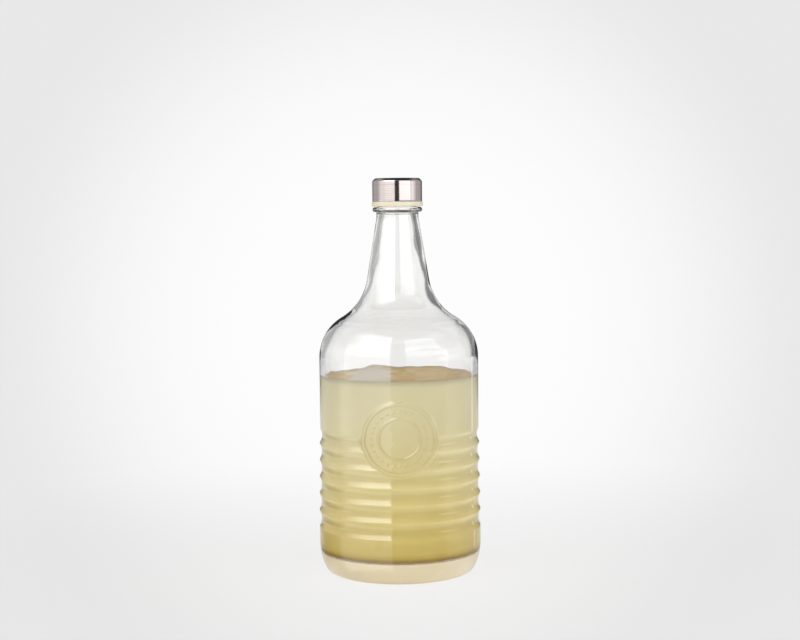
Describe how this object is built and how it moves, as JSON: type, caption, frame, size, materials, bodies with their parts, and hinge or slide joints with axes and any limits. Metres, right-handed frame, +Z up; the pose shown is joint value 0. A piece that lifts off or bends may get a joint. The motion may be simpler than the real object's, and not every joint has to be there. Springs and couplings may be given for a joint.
{
  "type": "screw-cap glass bottle",
  "caption": "Glass bottle with a ribbed body, a round relief on its front, a tapered neck and a steel-clad screw cap that seals pale drink.",
  "frame": {"origin": "middle of the foot ring, on the surface that the bottle stands on", "axes": "+Z up along the bottle's axis, the round relief faces -Y, +X to the right of someone who looks at the relief"},
  "size_m": [0.106, 0.106, 0.2572],
  "materials": {
    "clear_glass": "moulded soda-lime glass, fire-polished",
    "pale_drink": "cloudy pale yellow drink",
    "steel": "drawn stainless steel, fine turned brushing",
    "cream_plastic": "moulded polypropylene, satin",
    "liner_foam": "soft foamed liner, matte"
  },
  "bodies": {
    "bottle": {"glass_bottle": "clear_glass", "liquid_fill": "pale_drink"},
    "seal": {"seal_liner": "liner_foam"},
    "cap": {"cap_shell": "steel", "cap_insert": "cream_plastic"}
  },
  "joints": [
    {"name": "cap_rise", "type": "slide", "parent": "bottle", "child": "seal", "axis": [0, 0, 1], "range_m": [0, 0.01693]},
    {"name": "cap_turn", "type": "hinge", "parent": "seal", "child": "cap", "pos_m": [0, 0, 0.2536], "axis": [0, 0, 1], "range_deg": [0, 1440]}
  ],
  "couplings": [
    {"joint": "cap_rise", "follows": "cap_turn", "m_per_rad": 0.00067322}
  ]
}
